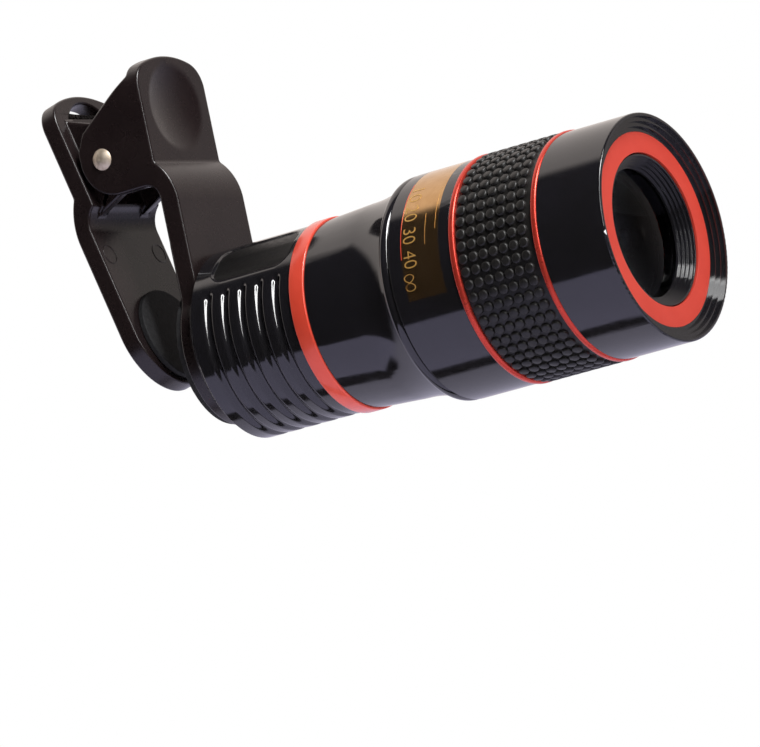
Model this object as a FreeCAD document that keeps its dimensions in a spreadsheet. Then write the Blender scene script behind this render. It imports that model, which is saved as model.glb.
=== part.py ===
import FreeCAD, Part
import math
import os
import Sketcher

# Clip-on telephoto lens for a phone: a sprung two-jaw clip that carries a focusing barrel.
# The origin lies on the lens axis, on the face of the phone that the front jaw's pad touches.
# The barrel points along -Y, the clip's handles point up +Z and the hinge pin lies along X.
# A station is a distance ahead of the phone's face, so a piece at station s lies at Y = -s.

Vector = FreeCAD.Vector
Rotation = FreeCAD.Rotation
Placement = FreeCAD.Placement

document = FreeCAD.newDocument("TelephotoClipLens")

sizes = {
    # Main sizes: the phone's face to the front rim, and the front barrel's radius.
    "barrelLength": 74.0,
    "frontRadius": 16.0,
    # Front jaw.
    "jawWidth": 17.0,
    "padThickness": 0.9,
    "jawPlate": 2.95,
    "handleSetback": 2.65,
    "handleWall": 2.3,
    "cheekWall": 2.1,
    "handleTop": 42.3,
    "crownRadius": 18.0,
    "crownCorner": 4.0,
    "creaseHeight": 27.0,
    "bendFoot": 21.0,
    "footRadius": 2.0,
    "discMargin": 2.3,
    "discBlend": 3.0,
    "dishRadius": 6.6,
    "dishDepth": 1.0,
    "dishHeight": 35.0,
    "cheekDrop": 5.4,
    "cheekBack": 3.8,
    "cheekRound": 5.6,
    "cheekShoulder": 1.8,
    "cheekBevelRise": 2.5,
    "cheekBevelDepth": 1.3,
    "cheekMargin": 2.5,
    # Hinge.
    "pinDepth": 7.1,
    "pinHeight": 29.4,
    "pinRadius": 1.0,
    "pinClearance": 0.05,
    "pinHeadRadius": 1.55,
    "pinHeadRise": 0.7,
    "pinTailRadius": 1.35,
    "pinTailRise": 0.45,
    "springWire": 0.7,
    "springCoilRadius": 2.3,
    "springTurns": 5.0,
    "springPitch": 0.95,
    "springLeg": 7.4,
    "springSeat": 0.1,
    # Rear jaw, seen square to its plate, with the pin at zero.
    "jawTilt": 14.0,
    "gripInner": 4.36,
    "gripWall": 2.67,
    "gripTop": 12.4,
    "gripFoot": 5.0,
    "rearSetback": 2.04,
    "rearPlate": 2.65,
    "rearBendTop": 2.7,
    "rearBendFoot": 9.0,
    "rearBendInner": 8.2,
    "rearReach": 32.0,
    "webGap": 0.3,
    "webWall": 1.6,
    "webTop": 8.9,
    "webFoot": 6.4,
    "webRound": 4.8,
    "webRoot": 0.9,
    "slotWidth": 9.0,
    "slotFoot": 9.0,
    "slotRise": 2.2,
    "rearPadRadius": 6.8,
    "rearPadDrop": 24.5,
    # Front pad.
    "padDiscInset": 0.4,
    "padBoreGap": 0.3,
    "padTabWidth": 14.0,
    "padTabTop": 18.0,
    "padTabCorner": 3.0,
    # Thread, rear barrel and the eyepiece in it.
    "mountEnd": 1.2,
    "mountRatio": 0.55,
    "mountWall": 1.9,
    "flangeClearance": 0.3,
    "mountFlangeThickness": 1.6,
    "rearWall": 2.15,
    "rearShell": 1.4,
    "rearBevel": 0.9,
    "grooveMargin": 3.05,
    "groovePitch": 2.85,
    "grooveWidth": 1.15,
    "grooveDepth": 0.55,
    "grooveCount": 5.0,
    "grooveSweep": 240.0,
    "labelAngle": 50.0,
    "labelDepth": 0.35,
    "labelMargin": 3.4,
    "labelLength": 13.2,
    "labelWidth": 6.4,
    "labelCorner": 2.2,
    "bandGap": 1.95,
    "bandWidth": 2.4,
    "bandRise": 0.35,
    "eyepieceEnd": 1.4,
    "eyepieceLength": 15.6,
    "eyepieceWall": 1.4,
    "eyepieceLedge": 0.8,
    "eyepieceSeat": 2.6,
    "rearLensEdge": 1.6,
    "rearLensCurve": 16.0,
    "spacerLength": 1.8,
    "frontLensEdge": 1.8,
    "frontLensCurve": 14.0,
    "eyepieceMouth": 0.5,
    "eyepieceMouthDepth": 0.8,
    # Middle barrel and the tube in it. A share is a length in proportion to the other shares.
    "spigotLength": 4.9,
    "spigotWall": 0.8,
    "midRise": 0.1,
    "taperShare": 7.2,
    "taperRise": 0.45,
    "flareShare": 6.7,
    "flareCurve": 19.0,
    "flareDrop": 0.7,
    "beadLength": 1.5,
    "beadStep": 0.3,
    "beadInset": 0.05,
    "seamGap": 0.15,
    "tubeInset": 0.7,
    "tubeGap": 0.15,
    "tubeWall": 1.3,
    "helicoidDepth": 1.55,
    "glareInset": 5.8,
    "glareThickness": 0.8,
    "glareRim": 4.45,
    "stopRadius": 0.6,
    "stopInset": 2.6,
    "stopClearance": 0.3,
    # Focus ring and grip.
    "runningGap": 0.05,
    "focusShare": 10.05,
    "focusRise": 0.75,
    "coreInset": 0.8,
    "coreWall": 0.9,
    "coreSpigot": 2.75,
    "landMargin": 1.8,
    "landLength": 7.0,
    "landRise": 0.9,
    "helicoidClearance": 3.5,
    "sealWidth": 1.2,
    "sealGap": 0.2,
    "windowMargin": 2.4,
    "windowShare": 6.1,
    "windowDepth": 0.3,
    "windowAngle": 39.0,
    "windowSweep": 120.0,
    "trimWidth": 1.0,
    "trimRise": 0.2,
    "gripShare": 12.35,
    "gripSkin": 0.52,
    "studRise": 0.43,
    "studRoot": 0.12,
    "studPitch": 1.64,
    "studSpacing": 1.764,
    "studMargin": 0.97,
    "studPhase": 4.0,
    "studFoot": 0.84,
    "studTop": 0.62,
    # Front barrel and the objective in it.
    "frontShare": 10.25,
    "frontEdge": 0.25,
    "sleeveGap": 0.1,
    "stepCount": 3.0,
    "rimWall": 0.5,
    "rimWidth": 2.36,
    "rimDepth": 1.45,
    "bezelLap": 0.15,
    "bezelThickness": 1.05,
    "cellInset": 2.25,
    "cellWall": 1.6,
    "cellFlange": 2.0,
    "objectiveRatio": 0.6125,
    "objectiveDepth": 1.8,
    "objectiveLedge": 0.8,
    "crownFrontCurve": 45.0,
    "crownThickness": 4.2,
    "cementCurve": 32.0,
    "flintThickness": 1.8,
    "retainerInset": 0.25,
    "retainerThreadWidth": 1.1,
    "retainerLip": 0.15,
    "retainerSteps": 4.0,
}


class Size:
    """A length that carries both its number and its expression on the size sheet."""

    def __init__(self, number, text=None):
        self.number = float(number)
        self.text = text or repr(float(number))

    def __add__(self, other):
        other = asSize(other)
        return Size(self.number + other.number, "(%s + %s)" % (self.text, other.text))

    def __sub__(self, other):
        other = asSize(other)
        return Size(self.number - other.number, "(%s - %s)" % (self.text, other.text))

    def __mul__(self, other):
        other = asSize(other)
        return Size(self.number * other.number, "%s * %s" % (self.text, other.text))

    def __truediv__(self, other):
        other = asSize(other)
        return Size(self.number / other.number, "%s / (%s)" % (self.text, other.text))

    def __radd__(self, other):
        return asSize(other) + self

    def __rsub__(self, other):
        return asSize(other) - self

    def __rmul__(self, other):
        return asSize(other) * self

    def __neg__(self):
        return Size(-self.number, "(0 - %s)" % self.text)


def asSize(value):
    return value if isinstance(value, Size) else Size(value)


def root(value):
    return Size(math.sqrt(value.number), "sqrt(%s)" % value.text)


def square(value):
    return value * value


def sine(angle):
    return Size(math.sin(math.radians(angle.number)), "sin(%s)" % angle.text)


def cosine(angle):
    return Size(math.cos(math.radians(angle.number)), "cos(%s)" % angle.text)


class Sheet:
    """The driving sizes, each an attribute of its own."""


sheet = document.addObject("Spreadsheet::Sheet", "Sizes")
size = Sheet()


def define(name, value):
    """Gives a size its own row on the sheet, as a number or as a formula of other sizes."""
    value = asSize(value)
    row = len(vars(size)) + 1
    sheet.set("A%d" % row, name)
    sheet.set("B%d" % row, "=" + value.text.replace("Sizes.", ""))
    sheet.setAlias("B%d" % row, name)
    setattr(size, name, Size(value.number, "Sizes." + name))


for name in sizes:
    define(name, sizes[name])


def defineRadii():
    """Radii of the barrel: the front group's inward from the rim, then the rear group's."""
    define("trimRadius", size.frontRadius + size.trimRise)
    define("stepTop", size.frontRadius - size.rimWall)
    define("bezelRadius", size.frontRadius - size.rimWidth)
    define("objectiveRadius", size.frontRadius * size.objectiveRatio)
    define("retainerThread", size.objectiveRadius + size.retainerThreadWidth)
    define("retainerBore", size.objectiveRadius - size.objectiveLedge)
    define("bezelInner", size.retainerThread - size.bezelLap)
    define("coreRadius", size.frontRadius - size.coreInset)
    define("focusRadius", size.coreRadius + size.focusRise)
    define("gripRadius", size.coreRadius + size.gripSkin)
    define("reliefRadius", size.coreRadius - size.coreWall)
    define("frontBore", size.reliefRadius - size.sleeveGap)
    define("helicoidRadius", size.reliefRadius - size.landRise)
    define("stopTop", size.reliefRadius - size.stopClearance)
    define("tubeRadius", size.helicoidRadius - size.helicoidDepth)
    define("glareAperture", size.tubeRadius - size.glareRim)
    define("rearBore", size.tubeRadius + size.tubeGap)
    define("rearRadius", size.rearBore + size.rearShell)
    define("labelDistance", size.rearRadius - size.labelDepth)
    define("bandRadius", size.rearRadius + size.bandRise)
    define("midRadius", size.rearRadius + size.midRise)
    define("taperRadius", size.midRadius + size.taperRise)
    define("beadRadius", size.focusRadius - size.beadInset)
    define("flareRadius", size.beadRadius - size.flareDrop)
    define("mountFlange", size.rearBore - size.flangeClearance)
    define("mountBore", size.rearBore * size.mountRatio)
    define("threadRadius", size.mountBore + size.mountWall)
    define("discRadius", size.threadRadius + size.discMargin)
    define("padDisc", size.discRadius - size.padDiscInset)
    define("eyepieceLensRadius", size.mountBore - size.eyepieceWall)
    define("eyepieceAperture", size.eyepieceLensRadius - size.eyepieceLedge)


def defineRearStations():
    """Stations from the phone's face to the rear red band."""
    define("plateStation", size.padThickness + size.jawPlate)
    define("mountSeat", size.plateStation + size.rearWall)
    define("grooveFirst", size.plateStation + size.grooveMargin)
    define("labelStart", size.plateStation + size.labelMargin)
    define("grooveLast", size.grooveFirst + size.groovePitch * (size.grooveCount - 1))
    define("bandStation", size.grooveLast + size.grooveWidth + size.bandGap)
    define("bandEnd", size.bandStation + size.bandWidth)
    define("eyepieceFront", size.eyepieceEnd + size.eyepieceLength)
    define("spigotStart", size.bandStation - size.spigotLength)
    define("tubeStart", size.bandEnd + size.tubeInset)


def defineFrontStations():
    """Stations ahead of that band, where what is left of the barrel's length is shared out."""
    shares = size.taperShare + size.flareShare + size.focusShare + size.gripShare + size.frontShare
    fixed = size.bandEnd + size.beadLength + size.seamGap + size.trimWidth * 2
    define("stretch", (size.barrelLength - fixed) / shares)
    define("taperEnd", size.bandEnd + size.taperShare * size.stretch)
    define("flareEnd", size.taperEnd + size.flareShare * size.stretch)
    define("seamStation", size.flareEnd + size.beadLength)
    define("glareStation", size.seamStation + size.glareInset)
    define("focusStart", size.seamStation + size.seamGap)
    define("landStart", size.seamStation + size.landMargin)
    define("landEnd", size.landStart + size.landLength)
    define("windowStart", size.seamStation + size.windowMargin)
    define("windowEnd", size.windowStart + size.windowShare * size.stretch)
    define("focusEnd", size.focusStart + size.focusShare * size.stretch)
    define("stopStation", size.focusEnd + size.stopInset)
    define("gripStart", size.focusEnd + size.trimWidth)
    define("gripLength", size.gripShare * size.stretch)
    define("gripEnd", size.gripStart + size.gripLength)
    define("frontStart", size.gripEnd + size.trimWidth)
    define("coreEnd", size.frontStart + size.coreSpigot)
    define("cellStart", size.gripEnd - size.cellInset)
    define("helicoidEnd", size.cellStart - size.helicoidClearance)
    define("frontEnd", size.frontStart + size.frontShare * size.stretch)
    define("bezelFront", size.frontEnd - size.rimDepth)
    define("bezelSeat", size.bezelFront - size.bezelThickness)
    define("objectiveEdge", size.bezelSeat - size.objectiveDepth)
    define("retainerBack", size.objectiveEdge + size.retainerInset)
    define("retainerFront", size.bezelFront - size.retainerInset)


defineRadii()
defineRearStations()
defineFrontStations()
define("cheekTop", size.handleTop - size.cheekMargin)
document.recompute()


def bind(item, field, value):
    value = asSize(value)
    item.setExpression(field, value.text)


def newBody(name):
    body = document.addObject("PartDesign::Body", name)
    body.Label = name
    return body


def originPlane(body, role):
    return [feature for feature in body.Origin.OriginFeatures if feature.Role == role][0]


class Line:
    """A straight run to a point."""

    def __init__(self, across, up):
        self.end = (asSize(across), asSize(up))
        self.radius = None


class Arc(Line):
    """A round run to a point, turning left or right on its way."""

    def __init__(self, across, up, radius, turn="left"):
        Line.__init__(self, across, up)
        self.radius = asSize(radius)
        self.turn = turn


def arcGeometry(start, end, radius, turn):
    chord = end - start
    half = chord.Length / 2
    side = Vector(-chord.y, chord.x, 0).normalize() * (1 if turn == "left" else -1)
    centre = start + chord * 0.5 + side * math.sqrt(max(radius * radius - half * half, 0))
    middle = centre - side * radius
    return Part.Arc(start, middle, end)


def drawPath(sketch, start, runs):
    """Draws one closed outline and ties every corner and radius to the sheet."""
    corners = [(asSize(start[0]), asSize(start[1]))] + [run.end for run in runs]
    points = [Vector(across.number, up.number, 0) for across, up in corners]
    first = sketch.GeometryCount
    ends = []
    for number, run in enumerate(runs):
        tail = points[number]
        head = points[number + 1] if number + 1 < len(runs) else points[0]
        if run.radius is None:
            index = sketch.addGeometry(Part.LineSegment(tail, head), False)
            ends.append((index, 1, 2))
            continue
        index = sketch.addGeometry(arcGeometry(tail, head, run.radius.number, run.turn), False)
        ends.append((index, 1, 2) if run.turn == "left" else (index, 2, 1))
    for number in range(len(ends)):
        following = ends[(number + 1) % len(ends)]
        sketch.addConstraint(
            Sketcher.Constraint("Coincident", ends[number][0], ends[number][2], following[0], following[1])
        )
    for (index, tail, head), (across, up) in zip(ends, corners):
        if across.number == 0:
            sketch.addConstraint(Sketcher.Constraint("PointOnObject", index, tail, -2))
        else:
            tie = Sketcher.Constraint("DistanceX", -1, 1, index, tail, across.number)
            bind(sketch, "Constraints[%d]" % sketch.addConstraint(tie), across)
        if up.number == 0:
            sketch.addConstraint(Sketcher.Constraint("PointOnObject", index, tail, -1))
        else:
            tie = Sketcher.Constraint("DistanceY", -1, 1, index, tail, up.number)
            bind(sketch, "Constraints[%d]" % sketch.addConstraint(tie), up)
    for (index, tail, head), run in zip(ends, runs):
        if run.radius is not None:
            tie = Sketcher.Constraint("Radius", index, run.radius.number)
            bind(sketch, "Constraints[%d]" % sketch.addConstraint(tie), run.radius)
    return first


def drawCircle(sketch, across, up, radius):
    across = asSize(across)
    up = asSize(up)
    radius = asSize(radius)
    centre = Vector(across.number, up.number, 0)
    index = sketch.addGeometry(Part.Circle(centre, Vector(0, 0, 1), radius.number), False)
    for kind, axis, value in (("DistanceX", -2, across), ("DistanceY", -1, up)):
        if value.number == 0:
            sketch.addConstraint(Sketcher.Constraint("PointOnObject", index, 3, axis))
        else:
            tie = Sketcher.Constraint(kind, -1, 1, index, 3, value.number)
            bind(sketch, "Constraints[%d]" % sketch.addConstraint(tie), value)
    tie = Sketcher.Constraint("Radius", index, radius.number)
    bind(sketch, "Constraints[%d]" % sketch.addConstraint(tie), radius)


def newSketch(body, role, ahead=None, turned=None):
    """Lays a sketch on a plane of the body, moved along its normal or turned about its own X."""
    sketch = body.newObject("Sketcher::SketchObject", body.Name + "Sketch")
    sketch.AttachmentSupport = [(originPlane(body, role), "")]
    sketch.MapMode = "FlatFace"
    if ahead is not None:
        bind(sketch, "AttachmentOffset.Base.z", ahead)
    if turned is not None:
        sketch.AttachmentOffset = Placement(Vector(), Rotation(Vector(1, 0, 0), 1))
        bind(sketch, "AttachmentOffset.Rotation.Angle", turned)
    return sketch


def profileSketch(body, role, start, runs, ahead=None, turned=None):
    sketch = newSketch(body, role, ahead, turned)
    drawPath(sketch, start, runs)
    return sketch


def circleSketch(body, role, across, up, radius, ahead=None):
    sketch = newSketch(body, role, ahead)
    drawCircle(sketch, across, up, radius)
    return sketch


def extrude(body, kind, sketch, length=None, side="Symmetric"):
    """Pads or pockets a sketch, through everything when no length is given."""
    feature = body.newObject("PartDesign::" + kind, body.Name + kind)
    feature.Profile = sketch
    feature.SideType = side
    if length is None:
        feature.Type = "ThroughAll"
    else:
        bind(feature, "Length", length)
    document.recompute()
    return feature


def revolve(body, kind, sketch, sweep=360.0):
    """Turns a sketch, or cuts with it, about its own horizontal axis."""
    feature = body.newObject("PartDesign::" + kind, body.Name + kind)
    feature.Profile = sketch
    feature.ReferenceAxis = (sketch, ["H_Axis"])
    feature.Midplane = True
    bind(feature, "Angle", sweep)
    document.recompute()
    return feature


def stations(runs):
    """Turns stations into sketch distances, which grow the other way."""
    for run in runs:
        run.end = (-run.end[0], run.end[1])
        if run.radius is not None:
            run.turn = "right" if run.turn == "left" else "left"
    return runs


def turnedPiece(name, start, runs, sweep=360.0, turned=None):
    """A body of revolution about the lens axis, from an outline of stations and radii."""
    body = newBody(name)
    sketch = profileSketch(body, "YZ_Plane", (-asSize(start[0]), start[1]), stations(runs), turned=turned)
    revolve(body, "Revolution", sketch, sweep)
    return body


def ringPiece(name, start, end, inner, outer, bevel=None):
    """A plain ring between two stations, its outer corners bevelled where a bevel is given."""
    start, end, inner, outer = (asSize(value) for value in (start, end, inner, outer))
    if bevel is None:
        return turnedPiece(name, (start, inner), [
            Line(start, outer),
            Line(end, outer),
            Line(end, inner),
            Line(start, inner),
        ])
    return turnedPiece(name, (start, inner), [
        Line(start, outer - bevel),
        Line(start + bevel, outer),
        Line(end - bevel, outer),
        Line(end, outer - bevel),
        Line(end, inner),
        Line(start, inner),
    ])


def chosenEdges(feature, test):
    names = []
    for number, edge in enumerate(feature.Shape.Edges):
        if test(edge.BoundBox):
            names.append("Edge%d" % (number + 1))
    return names


def dressUp(body, kind, base, field, value, test):
    """Fillets or chamfers the edges of the base feature that pass the test."""
    feature = body.newObject("PartDesign::" + kind, body.Name + kind)
    feature.Base = (base, chosenEdges(base, test))
    bind(feature, field, value)
    document.recompute()
    return feature


def sagitta(radius, chordHalf):
    """How far an arc of this radius bulges over half a chord."""
    return radius - root(square(radius) - square(chordHalf))


halfWidth = size.jawWidth / 2
jawFace = -(size.padThickness + size.jawPlate)
jawBack = -size.padThickness
plateStation = size.plateStation
handleFace = jawFace + size.handleSetback
handleBack = handleFace + size.handleWall
cheekInner = halfWidth - size.cheekWall
cheekFoot = size.pinHeight - size.cheekDrop
cheekRear = size.pinDepth + size.cheekBack
overshoot = 1.0


def crownCut(body, top, radius):
    """Cuts the top of a plate to a shallow arc across its width."""
    reach = halfWidth + overshoot
    foot = top - sagitta(radius, reach)
    sketch = profileSketch(body, "XZ_Plane", (-reach, foot), [
        Line(-reach, top + overshoot),
        Line(reach, top + overshoot),
        Line(reach, foot),
        Arc(-reach, foot, radius),
    ])
    return extrude(body, "Pocket", sketch)


def tipCut(body, reach):
    """Cuts the foot of a plate to a half circle as wide as the plate."""
    side = halfWidth + overshoot
    centre = -reach + halfWidth
    clear = -(reach + overshoot)
    sketch = profileSketch(body, "XZ_Plane", (-side, centre), [
        Line(-halfWidth, centre),
        Arc(0, -reach, halfWidth),
        Arc(halfWidth, centre, halfWidth),
        Line(side, centre),
        Line(side, clear),
        Line(-side, clear),
        Line(-side, centre),
    ])
    return extrude(body, "Pocket", sketch)


def makeFrontJaw():
    """Moulded jaw: thumb plate, cheeks that carry the pin, and a plate that ends in a disc."""
    body = newBody("front_jaw")
    bendRise = size.creaseHeight - size.bendFoot
    bendRadius = (square(size.handleSetback) + square(bendRise)) / (size.handleSetback * 2)
    bevelDepth = cheekRear - size.cheekBevelDepth
    shoulder = size.pinHeight + size.cheekShoulder
    sketch = profileSketch(body, "YZ_Plane", (handleFace, size.handleTop), [
        Line(handleFace, size.creaseHeight),
        Arc(jawFace, size.bendFoot, bendRadius),
        Line(jawFace, 0),
        Line(jawBack, 0),
        Line(jawBack, cheekFoot - size.footRadius),
        Arc(jawBack + size.footRadius, cheekFoot, size.footRadius, "right"),
        Line(cheekRear - size.cheekRound, cheekFoot),
        Arc(cheekRear, cheekFoot + size.cheekRound, size.cheekRound),
        Line(cheekRear, shoulder),
        Line(bevelDepth, shoulder + size.cheekBevelRise),
        Line(handleBack, size.cheekTop),
        Line(handleBack, size.handleTop),
        Line(handleFace, size.handleTop),
    ])
    extrude(body, "Pad", sketch, size.jawWidth)
    crown = crownCut(body, size.handleTop, size.crownRadius)
    topBand = size.handleTop.number - size.crownRadius.number / 4
    dressUp(body, "Fillet", crown, "Radius", size.crownCorner,
            lambda box: box.ZMin > topBand and box.XLength < 1e-6 and box.ZLength < 1e-6)
    disc = circleSketch(body, "XZ_Plane", 0, 0, size.discRadius, ahead=size.padThickness)
    discPad = extrude(body, "Pad", disc, size.jawPlate, "One side")
    neck = math.sqrt(size.discRadius.number ** 2 - halfWidth.number ** 2)
    dressUp(body, "Fillet", discPad, "Radius", size.discBlend,
            lambda box: box.XLength < 1e-6 and abs(box.ZMin - neck) < 1e-3 and box.ZLength < 1e-3)
    inside = profileSketch(body, "YZ_Plane", (handleBack, size.handleTop + overshoot), [
        Line(handleBack, size.creaseHeight),
        Line(jawBack, cheekFoot - size.footRadius),
        Line(jawBack, size.bendFoot - overshoot),
        Line(cheekRear + overshoot, size.bendFoot - overshoot),
        Line(cheekRear + overshoot, size.handleTop + overshoot),
        Line(handleBack, size.handleTop + overshoot),
    ])
    extrude(body, "Pocket", inside, cheekInner * 2)
    extrude(body, "Pocket", circleSketch(body, "XZ_Plane", 0, 0, size.threadRadius))
    cutDish(body)
    pinHole = circleSketch(body, "YZ_Plane", size.pinDepth, size.pinHeight, size.pinRadius)
    extrude(body, "Pocket", pinHole)
    return body


def cutDish(body):
    """Hollows the thumb plate with a shallow round dish."""
    dishCurve = (square(size.dishRadius) + square(size.dishDepth)) / (size.dishDepth * 2)
    sketch = body.newObject("Sketcher::SketchObject", "DishSketch")
    sketch.AttachmentSupport = [(originPlane(body, "YZ_Plane"), "")]
    sketch.MapMode = "FlatFace"
    bind(sketch, "AttachmentOffset.Base.y", size.dishHeight)
    drawPath(sketch, (handleFace + size.dishDepth, 0), [
        Arc(handleFace, size.dishRadius, dishCurve),
        Line(handleFace - overshoot, size.dishRadius),
        Line(handleFace - overshoot, 0),
        Line(handleFace + size.dishDepth, 0),
    ])
    return revolve(body, "Groove", sketch)


gripOuter = size.gripInner + size.gripWall
rearInner = size.gripInner + size.rearSetback
rearOuter = rearInner + size.rearPlate
webOuter = cheekInner - size.webGap
webInner = webOuter - size.webWall


def tangentPoint(across, up, radius, side):
    """Where a line from a point touches a circle about the pin."""
    away = root(square(across) + square(up))
    run = root(square(away) - square(radius))
    ratio = radius / square(away)
    return (
        ratio * (radius * across - side * run * up),
        ratio * (radius * up + side * run * across),
    )


def innerRuns():
    """The rear jaw's inner face, from the top of its handle to the foot of its bend."""
    rise = size.rearBendInner - size.gripFoot
    radius = (square(size.rearSetback) + square(rise)) / (size.rearSetback * 2)
    return [
        Line(size.gripInner, -size.gripFoot),
        Arc(rearInner, -size.rearBendInner, radius, "right"),
    ]


def makeRearJaw():
    """Moulded jaw behind the phone, drawn square to its plate and tilted about the pin."""
    body = newBody("rear_jaw")
    bendRise = size.rearBendFoot - size.rearBendTop
    bendRadius = (square(size.rearSetback) + square(bendRise)) / (size.rearSetback * 2)
    sketch = profileSketch(body, "YZ_Plane", (size.gripInner, size.gripTop), innerRuns() + [
        Line(rearInner, -size.rearReach),
        Line(rearOuter, -size.rearReach),
        Line(rearOuter, -size.rearBendFoot),
        Arc(rearOuter - size.rearSetback, -size.rearBendTop, bendRadius),
        Line(rearOuter - size.rearSetback, size.gripTop),
        Line(size.gripInner, size.gripTop),
    ])
    extrude(body, "Pad", sketch, size.jawWidth)
    crown = crownCut(body, size.gripTop, size.crownRadius)
    topBand = size.gripTop.number - size.crownRadius.number / 4
    dressUp(body, "Fillet", crown, "Radius", size.crownCorner,
            lambda box: box.ZMin > topBand and box.XLength < 1e-6 and box.ZLength < 1e-6)
    tipCut(body, size.rearReach)
    rootAcross = size.gripInner + size.webRoot
    footAcross = rearInner + size.webRoot
    highTouch = tangentPoint(rootAcross, size.webTop, size.webRound, 1.0)
    lowTouch = tangentPoint(footAcross, -size.webFoot, size.webRound, -1.0)
    webs = profileSketch(body, "YZ_Plane", (rootAcross, size.webTop), [
        Line(highTouch[0], highTouch[1]),
        Arc(lowTouch[0], lowTouch[1], size.webRound),
        Line(footAcross, -size.webFoot),
        Line(rootAcross, size.webTop),
    ])
    extrude(body, "Pad", webs, webOuter * 2)
    clear = -(size.webRound + overshoot)
    between = profileSketch(body, "YZ_Plane", (size.gripInner, size.gripTop), innerRuns() + [
        Line(clear, -size.rearBendInner),
        Line(clear, size.gripTop),
        Line(size.gripInner, size.gripTop),
    ])
    extrude(body, "Pocket", between, webInner * 2)
    extrude(body, "Pocket", circleSketch(body, "YZ_Plane", 0, 0, size.pinRadius + size.pinClearance))
    halfSlot = size.slotWidth / 2
    slotCurve = (square(halfSlot) + square(size.slotRise)) / (size.slotRise * 2)
    slot = profileSketch(body, "XZ_Plane", (-halfSlot, size.slotFoot), [
        Line(halfSlot, size.slotFoot),
        Arc(-halfSlot, size.slotFoot, slotCurve),
    ])
    extrude(body, "Pocket", slot)
    seatOnPin(body)
    return body


def seatOnPin(body):
    """Places a piece of the rear jaw at the pin, tilted as the clip stands open."""
    bind(body, "Placement.Base.y", size.pinDepth)
    bind(body, "Placement.Base.z", size.pinHeight)
    body.Placement = Placement(body.Placement.Base, Rotation(Vector(-1, 0, 0), 1))
    bind(body, "Placement.Rotation.Angle", size.jawTilt)


def makeHingePin():
    """Rivet pin with a domed head and a smaller peened tail."""
    body = newBody("hinge_pin")
    headCurve = (square(size.pinHeadRadius) + square(size.pinHeadRise)) / (size.pinHeadRise * 2)
    tailCurve = (square(size.pinTailRadius) + square(size.pinTailRise)) / (size.pinTailRise * 2)
    sketch = profileSketch(body, "XZ_Plane", (-halfWidth - size.pinHeadRise, 0), [
        Arc(-halfWidth, size.pinHeadRadius, headCurve, "right"),
        Line(-halfWidth, size.pinRadius),
        Line(halfWidth, size.pinRadius),
        Line(halfWidth, size.pinTailRadius),
        Arc(halfWidth + size.pinTailRise, 0, tailCurve, "right"),
        Line(-halfWidth - size.pinHeadRise, 0),
    ])
    revolve(body, "Revolution", sketch)
    bind(body, "Placement.Base.y", size.pinDepth)
    bind(body, "Placement.Base.z", size.pinHeight)
    return body


def coilTouch(end, radius, side):
    """Where a leg that runs to a point leaves the coil, seen along the pin."""
    across, up = tangentPoint(asSize(end.y), asSize(end.z), asSize(radius), side)
    return Vector(end.x, across.number, up.number)


def makeTorsionSpring():
    """Coil round the pin with a leg against the inside of each handle."""
    wire = size.springWire.number / 2
    coil = size.springCoilRadius.number
    tilt = math.radians(size.jawTilt.number)
    leg = size.springLeg.number
    seat = wire + size.springSeat.number
    across = size.gripInner.number - seat
    length = size.springPitch.number * size.springTurns.number
    frontEnd = Vector(-length / 2, handleBack.number + seat - size.pinDepth.number, leg)
    rearEnd = Vector(
        length / 2,
        across * math.cos(tilt) + leg * math.sin(tilt),
        leg * math.cos(tilt) - across * math.sin(tilt),
    )
    frontTouch = coilTouch(frontEnd, coil, 1.0)
    rearTouch = coilTouch(rearEnd, coil, -1.0)
    first = math.atan2(frontTouch.z, frontTouch.y)
    last = math.atan2(rearTouch.z, rearTouch.y)
    turns = int(size.springTurns.number - 0.5) + ((last - first) / (2 * math.pi)) % 1.0
    lean = length / (turns * 2 * math.pi * coil)
    frontEnd.x -= lean * (frontEnd - frontTouch).Length
    rearEnd.x += lean * (rearEnd - rearTouch).Length
    helix = Part.makeHelix(length / turns, length, coil)
    helix.rotate(Vector(), Vector(0, 0, 1), math.degrees(first))
    helix.translate(Vector(0, 0, -length / 2))
    helix.rotate(Vector(), Vector(1, 1, 1), 120)
    frontLeg = Part.makeLine(frontEnd, frontTouch)
    rearLeg = Part.makeLine(rearTouch, rearEnd)
    section = Part.Wire(Part.makeCircle(wire, frontEnd, frontTouch - frontEnd))
    path = Part.Wire([frontLeg] + helix.Edges + [rearLeg])
    feature = document.addObject("Part::Feature", "torsion_spring")
    feature.Label = "torsion_spring"
    feature.Shape = path.makePipeShell([section], True, False)
    feature.Placement = Placement(Vector(0, size.pinDepth.number, size.pinHeight.number), Rotation())
    print("spring wire", round(feature.Shape.Volume / (math.pi * wire * wire), 2), round(path.Length, 2))
    return feature


def makeFrontPad():
    """Soft pad on the back of the front jaw: a ring round the bore and a tab up the plate."""
    body = newBody("front_pad")
    extrude(body, "Pad", circleSketch(body, "XZ_Plane", 0, 0, size.padDisc), size.padThickness, "One side")
    halfTab = size.padTabWidth / 2
    tab = profileSketch(body, "XZ_Plane", (-halfTab, 0), [
        Line(halfTab, 0),
        Line(halfTab, size.padTabTop),
        Line(-halfTab, size.padTabTop),
        Line(-halfTab, 0),
    ])
    tabPad = extrude(body, "Pad", tab, size.padThickness, "One side")
    top = size.padTabTop.number
    dressUp(body, "Fillet", tabPad, "Radius", size.padTabCorner,
            lambda box: box.ZMin > top - 1e-3 and box.XLength < 1e-6)
    bore = circleSketch(body, "XZ_Plane", 0, 0, size.threadRadius + size.padBoreGap)
    extrude(body, "Pocket", bore)
    return body


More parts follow.
